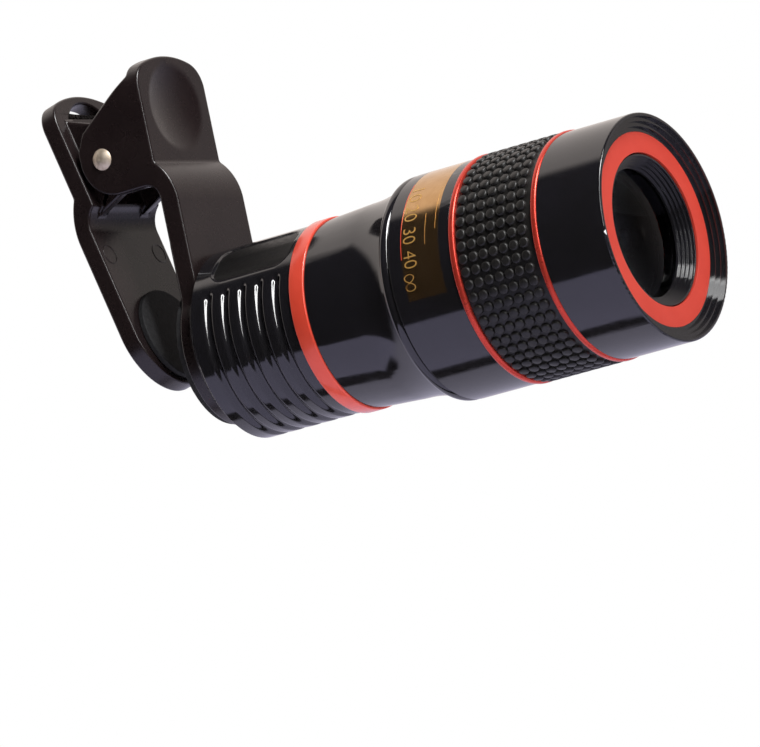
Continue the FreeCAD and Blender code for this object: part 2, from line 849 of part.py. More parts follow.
def makeRearPad():
    """Round soft pad near the tip of the rear jaw."""
    body = newBody("rear_pad")
    disc = circleSketch(body, "XZ_Plane", 0, -size.rearPadDrop, size.rearPadRadius, ahead=-rearInner)
    extrude(body, "Pad", disc, size.padThickness, "One side")
    seatOnPin(body)
    return body


def makeMountRing():
    """Threaded ring that screws into the clip, its flange behind the rear barrel's end wall."""
    bevel = 0.4
    flangeFront = size.mountSeat + size.mountFlangeThickness
    return turnedPiece("mount_ring", (size.mountEnd, size.mountBore), [
        Line(size.mountEnd, size.threadRadius - bevel),
        Line(size.mountEnd + bevel, size.threadRadius),
        Line(size.mountSeat, size.threadRadius),
        Line(size.mountSeat, size.mountFlange),
        Line(flangeFront, size.mountFlange),
        Line(flangeFront, size.mountBore),
        Line(size.mountEnd, size.mountBore),
    ])


def makeRearHousing():
    """Ribbed rear barrel: five grooves round its lower side and a flat label panel above them."""
    body = turnedPiece("rear_housing", (plateStation, size.threadRadius), [
        Line(plateStation, size.rearRadius - size.rearBevel),
        Line(plateStation + size.rearBevel, size.rearRadius),
        Line(size.bandStation, size.rearRadius),
        Line(size.bandStation, size.rearBore),
        Line(size.mountSeat, size.rearBore),
        Line(size.mountSeat, size.threadRadius),
        Line(plateStation, size.threadRadius),
    ])
    floor = size.rearRadius - size.grooveDepth
    edge = size.rearRadius + overshoot
    near = size.grooveFirst
    far = size.grooveFirst + size.grooveWidth
    section = profileSketch(body, "YZ_Plane", (-near, -floor), [
        Line(-near, -edge),
        Line(-far, -edge),
        Line(-far, -floor),
        Line(-near, -floor),
    ])
    groove = revolve(body, "Groove", section, size.grooveSweep)
    pattern = body.newObject("PartDesign::LinearPattern", "Grooves")
    pattern.Originals = [groove]
    pattern.Direction = (section, ["H_Axis"])
    pattern.Reversed = True
    bind(pattern, "Length", size.groovePitch * (size.grooveCount - 1))
    bind(pattern, "Occurrences", size.grooveCount)
    body.Tip = pattern
    document.recompute()
    cutLabel(body)
    return body


def cutLabel(body):
    """Cuts the bare label flat, a round-cornered facet square to one radius of the barrel."""
    sketch = newSketch(body, "YZ_Plane", turned=size.labelAngle)
    bind(sketch, "AttachmentOffset.Base.y", size.labelDistance * sine(size.labelAngle))
    bind(sketch, "AttachmentOffset.Base.z", -(size.labelDistance * cosine(size.labelAngle)))
    far = -(size.labelStart + size.labelLength)
    near = -size.labelStart
    side = size.labelWidth / 2
    corner = size.labelCorner
    drawPath(sketch, (far + corner, -side), [
        Line(near - corner, -side),
        Arc(near, -side + corner, corner),
        Line(near, side - corner),
        Arc(near - corner, side, corner),
        Line(far + corner, side),
        Arc(far, side - corner, corner),
        Line(far, -side + corner),
        Arc(far + corner, -side, corner),
    ])
    return extrude(body, "Pocket", sketch, size.rearRadius - size.labelDistance + overshoot, "One side")


rearLensBack = size.eyepieceEnd + size.eyepieceSeat
spacerStart = rearLensBack + size.rearLensEdge
frontLensBack = spacerStart + size.spacerLength
frontLensFront = frontLensBack + size.frontLensEdge


def makeEyepiece():
    """The lens group next to the phone: cell, two lenses, the spacer between them and its retainer."""
    bore = size.eyepieceLensRadius
    shoulder = frontLensFront
    turnedPiece("eyepiece_cell", (size.eyepieceEnd, bore), [
        Line(size.eyepieceEnd, size.mountBore),
        Line(size.eyepieceFront, size.mountBore),
        Line(size.eyepieceFront, size.eyepieceAperture),
        Line(shoulder, size.eyepieceAperture),
        Line(shoulder, bore),
        Line(size.eyepieceEnd, bore),
    ])
    clear = size.eyepieceAperture
    sag = sagitta(size.rearLensCurve, clear)
    turnedPiece("eyepiece_rear_lens", (rearLensBack - sag, 0), [
        Arc(rearLensBack, clear, size.rearLensCurve, "right"),
        Line(rearLensBack, bore),
        Line(spacerStart, bore),
        Line(spacerStart, clear),
        Arc(spacerStart + sag, 0, size.rearLensCurve, "right"),
        Line(rearLensBack - sag, 0),
    ])
    ringPiece("eyepiece_spacer", spacerStart, frontLensBack, size.eyepieceAperture, bore)
    turnedPiece("eyepiece_front_lens", (frontLensBack, 0), [
        Line(frontLensBack, bore),
        Line(frontLensFront, bore),
        Line(frontLensFront, clear),
        Arc(frontLensFront + sagitta(size.frontLensCurve, clear), 0, size.frontLensCurve, "right"),
        Line(frontLensBack, 0),
    ])
    mouth = size.eyepieceAperture + size.eyepieceMouth
    turnedPiece("eyepiece_retainer", (size.eyepieceEnd, mouth), [
        Line(size.eyepieceEnd, bore),
        Line(rearLensBack, bore),
        Line(rearLensBack, size.eyepieceAperture),
        Line(size.eyepieceEnd + size.eyepieceMouthDepth, size.eyepieceAperture),
        Line(size.eyepieceEnd, mouth),
    ])


def makeMidBarrel():
    """Smooth middle barrel: spigot, gentle taper, concave flare and a rounded bead at the seam."""
    bore = size.rearBore - size.spigotWall
    beadFoot = size.flareRadius + size.beadStep
    beadRise = size.beadRadius - beadFoot
    beadHalf = (size.seamStation - size.flareEnd) / 2
    beadCurve = (square(beadHalf) + square(beadRise)) / (beadRise * 2)
    return turnedPiece("mid_barrel", (size.spigotStart, bore), [
        Line(size.spigotStart, size.rearBore),
        Line(size.bandEnd, size.rearBore),
        Line(size.bandEnd, size.midRadius),
        Line(size.taperEnd, size.taperRadius),
        Arc(size.flareEnd, size.flareRadius, size.flareCurve, "left"),
        Line(size.flareEnd, beadFoot),
        Arc(size.seamStation, beadFoot, beadCurve, "right"),
        Line(size.seamStation, size.tubeRadius),
        Line(size.tubeStart, size.tubeRadius),
        Line(size.tubeStart, bore),
        Line(size.spigotStart, bore),
    ])


def makeInnerTube():
    """Fixed tube with the male helicoid that the focus ring turns on, and its stop screw's hole."""
    shoulder = size.seamStation
    bore = size.tubeRadius - size.tubeWall
    body = turnedPiece("inner_tube", (size.tubeStart, bore), [
        Line(size.tubeStart, size.tubeRadius),
        Line(shoulder, size.tubeRadius),
        Line(shoulder, size.helicoidRadius),
        Line(size.helicoidEnd, size.helicoidRadius),
        Line(size.helicoidEnd, size.tubeRadius),
        Line(shoulder + size.tubeWall, size.tubeRadius),
        Line(shoulder, bore),
        Line(size.tubeStart, bore),
    ])
    hole = circleSketch(body, "XY_Plane", 0, -size.stopStation, size.stopRadius)
    extrude(body, "Pocket", hole, size.helicoidRadius + overshoot, "One side").Reversed = True
    document.recompute()
    return body


def makeStopScrew():
    """Short headless screw through the tube's wall that ends the focus ring's turn."""
    screw = document.addObject("Part::Cylinder", "stop_screw")
    screw.Label = "stop_screw"
    bind(screw, "Radius", size.stopRadius)
    bind(screw, "Height", size.stopTop - size.tubeRadius)
    bind(screw, "Placement.Base.y", -size.stopStation)
    bind(screw, "Placement.Base.z", size.tubeRadius)
    return screw


def makeFocusRing():
    """Focus ring and the core under the grip, with a shallow seat for the scale window."""
    rear = size.focusStart
    land = size.helicoidRadius + size.runningGap
    bevel = 0.15
    body = turnedPiece("focus_ring", (rear, size.reliefRadius), [
        Line(rear, size.focusRadius - bevel),
        Line(rear + bevel, size.focusRadius),
        Line(size.focusEnd, size.focusRadius),
        Line(size.focusEnd, size.coreRadius),
        Line(size.coreEnd, size.coreRadius),
        Line(size.coreEnd, size.reliefRadius),
        Line(size.landEnd, size.reliefRadius),
        Line(size.landEnd, land),
        Line(size.landStart, land),
        Line(size.landStart, size.reliefRadius),
        Line(rear, size.reliefRadius),
    ])
    floor = size.focusRadius - size.windowDepth
    edge = size.focusRadius + overshoot
    seat = profileSketch(body, "YZ_Plane", (-size.windowStart, floor), [
        Line(-size.windowStart, edge),
        Line(-size.windowEnd, edge),
        Line(-size.windowEnd, floor),
        Line(-size.windowStart, floor),
    ], turned=-size.windowAngle)
    revolve(body, "Groove", seat, size.windowSweep)
    return body


def makeScaleWindow():
    """Thin curved plate in the focus ring that carries the distance numerals."""
    floor = size.focusRadius - size.windowDepth
    return turnedPiece("scale_window", (size.windowStart, floor), [
        Line(size.windowStart, size.focusRadius),
        Line(size.windowEnd, size.focusRadius),
        Line(size.windowEnd, floor),
        Line(size.windowStart, floor),
    ], sweep=size.windowSweep, turned=-size.windowAngle)


def makeSealRing():
    """Greased felt ring behind the helicoid land, which travels with the focus ring without turning."""
    end = size.landStart - size.sealGap
    return ringPiece("seal_ring", end - size.sealWidth, end,
                     size.helicoidRadius + size.runningGap, size.reliefRadius - size.runningGap)


def hexagon(radius, height):
    """A six-sided outline at that height, its corners pointing round the barrel."""
    corners = []
    for number in range(6):
        turn = math.radians(60 * number)
        corners.append(Vector(radius * math.cos(turn), radius * math.sin(turn), height))
    return Part.makePolygon(corners + corners[:1])


def makeStud(station):
    """One raised stud of the grip, its root sunk a little into the sleeve."""
    foot = hexagon(size.studFoot.number, size.gripRadius.number - size.studRoot.number)
    top = hexagon(size.studTop.number, size.gripRadius.number + size.studRise.number)
    stud = Part.makeLoft([foot, top], True, True)
    stud.translate(Vector(0, -station, 0))
    return stud


def makeGripSlice(sweep):
    """One row of studs with the slice of sleeve under it, flat outside and round inside."""
    start = size.gripStart.number
    length = size.gripLength.number
    inner = size.coreRadius.number
    outer = size.gripRadius.number
    half = math.radians(sweep / 2)
    near = Vector(inner * math.sin(half), -start, inner * math.cos(half))
    middle = Vector(0, -start, inner)
    corner = Vector(outer * math.tan(half), -start, outer)
    mirrored = [Vector(-point.x, point.y, point.z) for point in (near, corner)]
    outline = [Part.Arc(near, middle, mirrored[0]).toShape(), Part.makeLine(mirrored[0], mirrored[1]),
               Part.makeLine(mirrored[1], corner), Part.makeLine(corner, near)]
    sleeve = Part.Face(Part.Wire(outline)).extrude(Vector(0, -length, 0))
    margin = size.studMargin.number
    pitch = size.studPitch.number
    count = int((length - margin - size.studFoot.number) / pitch) + 1
    return sleeve.fuse([makeStud(start + margin + pitch * column) for column in range(count)])


def makeGripSleeve():
    """Rubber sleeve with rows of round-cornered studs: one slice, repeated all the way round."""
    rows = round(math.tau * size.gripRadius.number / size.studSpacing.number)
    sweep = 360.0 / rows
    piece = makeGripSlice(sweep)
    sideways = math.cos(math.radians(sweep / 2)) - 1e-6
    skin = [face for face in piece.Faces
            if not (face.BoundBox.YLength > size.gripLength.number * 0.9
                    and abs(face.normalAt(0, 0).x) > sideways)]
    faces = []
    for row in range(rows):
        for face in skin:
            turned = face.copy()
            turned.rotate(Vector(), Vector(0, 1, 0), size.studPhase.number + sweep * row)
            faces.append(turned)
    sewn = Part.makeCompound(faces)
    sewn.sewShape(0.0001)
    feature = document.addObject("Part::Feature", "grip_sleeve")
    feature.Label = "grip_sleeve"
    feature.Shape = Part.Solid(sewn.Shells[0])
    return feature


def makeGrip():
    """Rubber grip sleeve between the two thin trim rings."""
    ringPiece("grip_trim_ring", size.focusEnd, size.gripStart, size.coreRadius, size.trimRadius, 0.15)
    makeGripSleeve()
    ringPiece("front_trim_ring", size.gripEnd, size.frontStart, size.coreRadius, size.trimRadius, 0.15)


def makeFrontBarrel():
    """Gloss front barrel, stepped down inside its rim to the bezel's seat."""
    count = int(size.stepCount.number)
    stepWide = (size.stepTop - size.bezelRadius) / size.stepCount
    stepDeep = (size.frontEnd - size.bezelFront) / size.stepCount
    runs = [
        Line(size.frontStart, size.frontRadius),
        Line(size.frontEnd - size.frontEdge, size.frontRadius),
        Arc(size.frontEnd, size.frontRadius - size.frontEdge, size.frontEdge, "right"),
    ]
    for number in range(count):
        radius = size.stepTop - stepWide * number
        runs.append(Line(size.frontEnd - stepDeep * number, radius))
        runs.append(Line(size.frontEnd - stepDeep * (number + 1), radius))
    back = size.bezelSeat
    runs += [
        Line(size.bezelFront, size.bezelRadius),
        Line(back, size.bezelRadius),
        Line(back, size.frontBore),
        Line(size.coreEnd, size.frontBore),
        Line(size.coreEnd, size.coreRadius),
        Line(size.frontStart, size.coreRadius),
    ]
    return turnedPiece("front_barrel", (size.frontStart, size.coreRadius), runs)


def makeObjective():
    """The front lens group: red bezel, cell, cemented pair and the stepped ring that retains it."""
    seat = size.bezelSeat
    ringPiece("front_bezel", seat, size.bezelFront, size.bezelInner, size.bezelRadius)
    radius = size.objectiveRadius
    crownFront = size.objectiveEdge + sagitta(size.crownFrontCurve, radius)
    cement = crownFront - size.crownThickness
    cementEdge = cement + sagitta(size.cementCurve, radius)
    flintBack = cement - size.flintThickness
    turnedPiece("objective_crown", (cement, 0), [
        Arc(cementEdge, radius, size.cementCurve, "right"),
        Line(size.objectiveEdge, radius),
        Arc(crownFront, 0, size.crownFrontCurve, "right"),
        Line(cement, 0),
    ])
    turnedPiece("objective_flint", (flintBack, 0), [
        Line(flintBack, radius),
        Line(cementEdge, radius),
        Arc(cement, 0, size.cementCurve, "left"),
        Line(flintBack, 0),
    ])
    outer = size.retainerThread + size.cellWall
    turnedPiece("objective_cell", (size.cellStart, size.retainerBore), [
        Line(size.cellStart, outer),
        Line(seat - size.cellFlange, outer),
        Line(seat - size.cellFlange, size.frontBore),
        Line(seat, size.frontBore),
        Line(seat, size.retainerThread),
        Line(size.objectiveEdge, size.retainerThread),
        Line(size.objectiveEdge, radius),
        Line(flintBack, radius),
        Line(flintBack, size.retainerBore),
        Line(size.cellStart, size.retainerBore),
    ])
    makeRetainer(seat)


def makeRetainer(seat):
    """Ring that holds the objective, its mouth stepped down to the clear aperture."""
    count = int(size.retainerSteps.number)
    mouth = size.bezelInner - size.retainerLip
    stepWide = (mouth - size.retainerBore) / (size.retainerSteps + 1)
    stepDeep = (size.retainerFront - size.retainerBack) / (size.retainerSteps + 1)
    runs = [
        Line(size.retainerBack, size.retainerThread),
        Line(seat, size.retainerThread),
        Line(seat, mouth),
        Line(size.retainerFront, mouth),
    ]
    for number in range(1, count + 1):
        radius = mouth - stepWide * number
        runs.append(Line(size.retainerFront - stepDeep * (number - 1), radius))
        runs.append(Line(size.retainerFront - stepDeep * number, radius))
    runs += [
        Line(size.retainerBack + stepDeep, size.retainerBore),
        Line(size.retainerBack, size.retainerBore),
    ]
    return turnedPiece("objective_retainer", (size.retainerBack, size.retainerBore), runs)


makeFrontJaw()
makeRearJaw()
makeHingePin()
makeTorsionSpring()
makeFrontPad()
makeRearPad()
makeMountRing()
makeRearHousing()
ringPiece("rear_trim_ring", size.bandStation, size.bandEnd, size.rearBore, size.bandRadius, 0.15)
makeEyepiece()
makeMidBarrel()
makeInnerTube()
ringPiece("glare_stop", size.glareStation, size.glareStation + size.glareThickness,
          size.glareAperture, size.tubeRadius)
makeStopScrew()
makeFocusRing()
makeScaleWindow()
makeSealRing()
makeGrip()
makeFrontBarrel()
makeObjective()
document.recompute()

for item in document.Objects:
    faults = [state for state in item.State if state in ("Invalid", "Error")]
    if faults:
        raise RuntimeError("%s is %s" % (item.Name, faults))

pieces = [item for item in document.Objects
          if item.TypeId in ("PartDesign::Body", "Part::Feature", "Part::Cylinder")]
for piece in pieces:
    if piece.Shape.isNull() or not piece.Shape.isValid():
        raise RuntimeError("%s has no valid shape" % piece.Label)
    if len(piece.Shape.Solids) != 1:
        raise RuntimeError("%s is %d solids" % (piece.Label, len(piece.Shape.Solids)))

os.makedirs("parts", exist_ok=True)
for piece in pieces:
    piece.Shape.exportStep("parts/%s.step" % piece.Label)
print("wrote %d parts" % len(pieces))
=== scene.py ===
import math
import bmesh
import bpy
from mathutils import Matrix, Vector


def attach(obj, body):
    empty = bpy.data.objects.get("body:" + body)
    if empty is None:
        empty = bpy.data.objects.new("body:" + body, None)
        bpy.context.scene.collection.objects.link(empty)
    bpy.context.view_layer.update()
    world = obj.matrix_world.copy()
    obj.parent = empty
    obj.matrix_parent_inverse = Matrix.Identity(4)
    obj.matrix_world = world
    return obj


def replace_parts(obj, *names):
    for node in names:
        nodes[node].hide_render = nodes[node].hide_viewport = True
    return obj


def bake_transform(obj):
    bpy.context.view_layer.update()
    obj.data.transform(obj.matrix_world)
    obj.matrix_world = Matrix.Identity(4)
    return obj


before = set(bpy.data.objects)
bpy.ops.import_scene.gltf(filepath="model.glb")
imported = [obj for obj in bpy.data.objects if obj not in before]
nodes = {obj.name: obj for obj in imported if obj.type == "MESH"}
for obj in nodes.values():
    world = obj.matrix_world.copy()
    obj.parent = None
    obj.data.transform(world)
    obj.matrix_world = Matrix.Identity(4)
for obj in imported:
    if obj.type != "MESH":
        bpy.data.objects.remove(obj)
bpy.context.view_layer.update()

mm = 0.001
onAxis = (0, 0, 0)
barrelAxis = (0, 1, 0)
fullTurn = 2 * math.pi
scene = bpy.context.scene
print("frame loaded:", len(nodes), "pieces")

# the sockets of a Mix node that mixes colours
mixShare, mixFirst, mixSecond, mixResult = 0, 6, 7, 2


def hexColour(text):
    # sRGB hex to the linear colour that a socket takes
    values = [int(text[i:i + 2], 16) / 255 for i in (1, 3, 5)]
    linear = [v / 12.92 if v <= 0.04045 else ((v + 0.055) / 1.055) ** 2.4 for v in values]
    return (*linear, 1.0)


def addNode(tree, kind, settings=None, links=None):
    # one node, with its settings and socket values, where a hex text is a colour, and the outputs
    # that feed its sockets
    node = tree.nodes.new(kind)
    for name, value in (settings or {}).items():
        if isinstance(name, str) and hasattr(node, name):
            setattr(node, name, value)
        else:
            isColour = isinstance(value, str)
            node.inputs[name].default_value = hexColour(value) if isColour else value
    for name, source in (links or {}).items():
        tree.links.new(source, node.inputs[name])
    return node


# where nearly all of the noise lies, which is stretched to a pattern's whole range
noise = {"low": 0.3, "high": 0.7, "detail": 3.0}


def mottle(tree, coords, size, low, high, detail):
    # soft patches of that size in mm, between the values low and high
    pattern = addNode(tree, "ShaderNodeTexNoise", {"Scale": 1 / (size * mm), "Detail": detail},
                      {"Vector": coords})
    spread = addNode(tree, "ShaderNodeMapRange", {
        "From Min": noise["low"], "From Max": noise["high"], "To Min": low, "To Max": high},
        {"Value": pattern.outputs[0]})
    return spread.outputs[0]


def makeFinish(name, sockets, look):
    # the shader's even values, and what the look adds: two colours in patches, a roughness from
    # low to high in smears, and a grain of some depth, with all sizes in mm
    material = bpy.data.materials.new(name)
    material.use_nodes = True
    tree = material.node_tree
    tree.nodes.clear()
    surface = addNode(tree, "ShaderNodeBsdfPrincipled", sockets)
    addNode(tree, "ShaderNodeOutputMaterial", None, {"Surface": surface.outputs[0]})
    coords = addNode(tree, "ShaderNodeTexCoord").outputs["Object"]
    if "patch" in look:
        patches = mottle(tree, coords, look["patch"], 0.0, 1.0,
                         look.get("patchDetail", noise["detail"]))
        tone = addNode(tree, "ShaderNodeMix", {
            "data_type": "RGBA", mixFirst: look["base"], mixSecond: look["second"]},
            {mixShare: patches})
        tree.links.new(tone.outputs[mixResult], surface.inputs["Base Color"])
    if "smear" in look:
        smears = mottle(tree, coords, look["smear"], look["low"], look["high"],
                        look.get("smearDetail", noise["detail"]))
        tree.links.new(smears, surface.inputs["Roughness"])
    if "grain" in look:
        grain = mottle(tree, coords, look["grain"], 0.0, 1.0,
                       look.get("grainDetail", noise["detail"]))
        bump = addNode(tree, "ShaderNodeBump", {"Distance": look["depth"] * mm, "Strength": 1.0},
                       {"Height": grain})
        tree.links.new(bump.outputs[0], surface.inputs["Normal"])
    return material


# the clip's jaws: ABS moulded in a fine spark-eroded tool, which gives a satin with a soft wide
# shine; its grain is drawn about three times as coarse as the real one, so that it shows
satinAbs = makeFinish("satinMouldedAbs", {"IOR": 1.54}, {
    "base": "#1e1617", "second": "#251d1d", "patch": 9, "low": 0.24, "high": 0.30, "smear": 3,
    "grain": 0.35, "grainDetail": 2.0, "depth": 0.0012})

# the barrels: aluminium under a polished black lacquer, a dark mirror with a faint ripple and a
# haze of fine dust
blackLacquer = makeFinish("polishedBlackLacquer", {"IOR": 1.72}, {
    "base": "#1a191b", "second": "#1d1c20", "patch": 6,
    "low": 0.06, "high": 0.12, "smear": 1.2, "smearDetail": 6.0,
    "grain": 4.0, "grainDetail": 1.0, "depth": 0.004})

# the rear band and the scale's red line: red enamel on turned aluminium, even and bright under
# a hard clear coat
redEnamel = makeFinish("redEnamelledAluminium", {
    "Metallic": 0.15, "Coat Weight": 0.6, "Coat Roughness": 0.1, "Coat IOR": 1.5}, {
    "base": "#f25540", "second": "#ea4c37", "patch": 4, "low": 0.30, "high": 0.36, "smear": 1.5})

# the two thin rings: aluminium dyed red and anodised, so they mirror the dark room and the lamps
redAnodised = makeFinish("redAnodisedAluminium", {"Metallic": 0.6}, {
    "base": "#dd4a3c", "second": "#d24234", "patch": 4, "low": 0.24, "high": 0.32, "smear": 1.5})

# the bezel: ABS painted with a signal red, smooth and satin, so its colour stays even
redPaint = makeFinish("redPaintedAbs", {"IOR": 1.42}, {
    "base": "#c84133", "second": "#c13c2f", "patch": 5, "low": 0.38, "high": 0.46, "smear": 2,
    "grain": 0.5, "depth": 0.0004})

# the inside of the tubes: carbon-black flocking paint, which swallows nearly all light; its
# fibres are drawn coarser than the real ones
flockPaint = makeFinish("blackFlockingPaint", {"Roughness": 1.0, "Specular IOR Level": 0.02}, {
    "base": "#030303", "second": "#050505", "patch": 0.4, "grain": 0.2, "depth": 0.02})

# the grip: nitrile rubber moulded with round studs, dark, with a dull shine on their tops
studdedRubber = makeFinish("mouldedNitrileRubber", {"IOR": 1.52}, {
    "base": "#1a1918", "second": "#232120", "patch": 1.8, "low": 0.38, "high": 0.5, "smear": 0.7,
    "grain": 0.2, "depth": 0.003})

# the clip's pads: soft silicone foam with a fine open skin, matt and slightly uneven
padFoam = makeFinish("siliconeFoamPad", {"Roughness": 0.75, "IOR": 1.45}, {
    "base": "#1e1e20", "second": "#2a2a2c", "patch": 0.8,
    "grain": 0.3, "grainDetail": 5.0, "depth": 0.03})

# the mount ring and the label panel's floor: aluminium anodised matt black, whose dyed oxide
# hides the metal, so it is dull and not metallic
mattAnodised = makeFinish("mattBlackAnodisedAluminium", {"IOR": 1.4}, {
    "base": "#060606", "second": "#0a0a0b", "patch": 1.5, "low": 0.38, "high": 0.52, "smear": 0.5,
    "grain": 0.25, "depth": 0.004})

# the distance scale: brass-coloured film under clear lacquer, a dark gold mirror
brassFilm = makeFinish("brassFilmUnderLacquer", {"Metallic": 0.96}, {
    "base": "#d0a878", "second": "#c49a68", "patch": 2, "low": 0.10, "high": 0.16, "smear": 1,
    "grain": 3.0, "depth": 0.002})

# the numerals: hot-foiled gold, a little grainy; the scale's two gold lines in the same gold are
# painted highlights, standing for the glints of two fine ridges on the film
goldFoilAndPaintedGlint = makeFinish("hotFoiledGoldAndPaintedGlint", {"Metallic": 0.35}, {
    "base": "#e0b468", "second": "#c8964a", "patch": 0.4, "low": 0.3, "high": 0.42, "smear": 0.3,
    "grain": 0.15, "depth": 0.004})

# the rivet pin: nickel-plated steel, headed cold, so its dome is bright with small dents
platedSteel = makeFinish("nickelPlatedSteel", {"Metallic": 0.7}, {
    "base": "#e6d8c6", "second": "#cdbca6", "patch": 0.5, "low": 0.42, "high": 0.54, "smear": 0.8,
    "grain": 0.6, "depth": 0.006})

# the spring and the stop screw: drawn spring steel, darker than the pin and blotchy
drawnSteel = makeFinish("drawnSpringSteel", {"Metallic": 1.0}, {
    "base": "#8e8c88", "second": "#767470", "patch": 0.6, "low": 0.25, "high": 0.4, "smear": 0.3,
    "grain": 0.2, "depth": 0.005})

# the lenses: ground and polished glass with a coating against reflections and faint cleaning
# smears, so they look open and dark; the IOR stands for the coated surface and is far below
# the glass's own
coatedGlass = makeFinish("coatedOpticalGlass", {
    "IOR": 1.12, "Transmission Weight": 1.0, "Base Color": "#e6ecf4",
    "Specular Tint": "#262350"}, {"low": 0.0, "high": 0.03, "smear": 5})

# the seal: grey felt soaked with grease, dark and fluffy
greasedFelt = makeFinish("greasedWoolFelt", {"Roughness": 0.6}, {
    "base": "#3a3835", "second": "#23211f", "patch": 0.3, "patchDetail": 6.0,
    "grain": 0.2, "grainDetail": 6.0, "depth": 0.05})
print("materials made")


def finishMesh(bm, mesh, sharp):
    # the bmesh written out, smooth but for the edges sharper than that angle in degrees
    bm.to_mesh(mesh)
    bm.free()
    mesh.shade_smooth()
    mesh.set_sharp_from_angle(angle=math.radians(sharp))
    return mesh


def placePiece(name, mesh, material):
    piece = bpy.data.objects.new(name, mesh)
    scene.collection.objects.link(piece)
    mesh.materials.clear()
    mesh.materials.append(material)
    for face in mesh.polygons:
        face.material_index = 0
    return piece


def addPiece(name, mesh, material, body):
    piece = placePiece(name, mesh, material)
    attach(piece, body)
    return piece


rootBody = "clip_and_rear_barrel"
jawBody = "rear_clamp"
frontBody = "front_group"

# copies of nodes: the gap in mm within which their triangles' corners are joined, the angle under
# which flat ones become one face, the angle past which an edge gets its radius, and its facets
edging = {"gap": 0.0015, "flat": 0.4, "sharp": 32, "facets": 3}

# pieces whose long edges need the full radius, whatever the short ones at their corners
freeBevels = ("front_jaw", "rear_jaw")

# node, new name, finish, body, slot, edge radius in mm
finishedPieces = [
    ("front_jaw", "frontJawMoulding", satinAbs, rootBody, "jaw_black", 0.35),
    ("rear_jaw", "rearJawMoulding", satinAbs, jawBody, "jaw_black", 0.35),
    ("front_pad", "frontPadCut", padFoam, rootBody, "pad_rubber", 0.12),
    ("rear_pad", "rearPadCut", padFoam, jawBody, "pad_rubber", 0.2),
    ("mid_barrel", "middleBarrel", blackLacquer, rootBody, "barrel_black", 0.08),
    ("focus_ring", "focusRingTurned", blackLacquer, frontBody, "barrel_black", 0.04),
    ("scale_window", "scaleFilm", brassFilm, frontBody, "scale_gold", 0.0),
    ("front_barrel", "frontBarrelTurned", blackLacquer, frontBody, "barrel_black", 0.06),
    ("front_bezel", "redBezel", redPaint, frontBody, "trim_red", 0.05),
    ("objective_retainer", "steppedRetainer", blackLacquer, frontBody, "inner_black", 0.06),
    ("hinge_pin", "rivetPin", platedSteel, rootBody, "pin_steel", 0.04),
]


def mergedCopy(node):
    # a copy of the node's mesh, and its loose triangles joined in a bmesh
    mesh = nodes[node].data.copy()
    bm = bmesh.new()
    bm.from_mesh(mesh)
    bmesh.ops.remove_doubles(bm, verts=bm.verts, dist=edging["gap"] * mm)
    return bm, mesh


def softenEdges(piece, width, clamp):
    # a small moulded or turned radius on every sharp edge, in mm
    bevel = piece.modifiers.new("edgeRadius", "BEVEL")
    bevel.width = width * mm
    bevel.segments = edging["facets"]
    bevel.limit_method = "ANGLE"
    bevel.angle_limit = math.radians(edging["sharp"])
    bevel.harden_normals = True
    bevel.use_clamp_overlap = clamp
    weighted = piece.modifiers.new("flatFaces", "WEIGHTED_NORMAL")
    weighted.keep_sharp = True


for node, name, material, body, slotName, width in finishedPieces:
    bm, mesh = mergedCopy(node)
    bmesh.ops.dissolve_limit(bm, angle_limit=math.radians(edging["flat"]), verts=bm.verts,
                             edges=bm.edges)
    piece = addPiece(name, finishMesh(bm, mesh, edging["sharp"]), material, body)
    if width:
        softenEdges(piece, width, node not in freeBevels)
    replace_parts(piece, node)
print("finished copies made:", len(finishedPieces))


def turnOutline(bm, outline, steps):
    # a closed outline of places along the barrel and radii, in metres, spun round its axis
    corners = [bm.verts.new((0, place, radius)) for place, radius in outline]
    edges = [bm.edges.new((corners[i - 1], corners[i])) for i in range(len(corners))]
    bmesh.ops.spin(bm, geom=corners + edges, cent=onAxis, axis=barrelAxis, angle=fullTurn,
                   steps=steps, use_merge=True)


# facets round a ring and across its rounded edges, how near the rim in mm a point counts as on
# it, and the angle past which an edge stays sharp
redRing = {"around": 180, "facets": 4, "near": 0.01, "sharp": 40}

# node, new name, finish, body, radius in mm of the outer edges
redRings = [("rear_trim_ring", "rearRedBand", redEnamel, rootBody, 0.18),
            ("grip_trim_ring", "gripRedRing", redAnodised, frontBody, 0.4),
            ("front_trim_ring", "frontRedRing", redAnodised, frontBody, 0.4)]


def makeRedRing(node, name, material, body, rounding):
    # turned between the node's own ends and radii, its outer edges rounded
    points = [vert.co for vert in nodes[node].data.vertices]
    radii = [math.hypot(p.x, p.z) for p in points]
    inner, outer = min(radii), max(radii)
    front, back = min(p.y for p in points), max(p.y for p in points)
    bm = bmesh.new()
    turnOutline(bm, ((front, inner), (front, outer), (back, outer), (back, inner)),
                redRing["around"])
    bmesh.ops.recalc_face_normals(bm, faces=bm.faces)
    reach = outer - redRing["near"] * mm
    rims = [edge for edge in bm.edges if edge.verts[0].co.y == edge.verts[1].co.y
            and all(math.hypot(v.co.x, v.co.z) > reach for v in edge.verts)]
    bmesh.ops.bevel(bm, geom=rims, offset=rounding * mm, segments=redRing["facets"], profile=0.5,
                    affect="EDGES", material=-1)
    mesh = finishMesh(bm, bpy.data.meshes.new(name), redRing["sharp"])
    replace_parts(addPiece(name, mesh, material, body), node)


for ring in redRings:
    makeRedRing(*ring)
print("red rings made:", len(redRings))

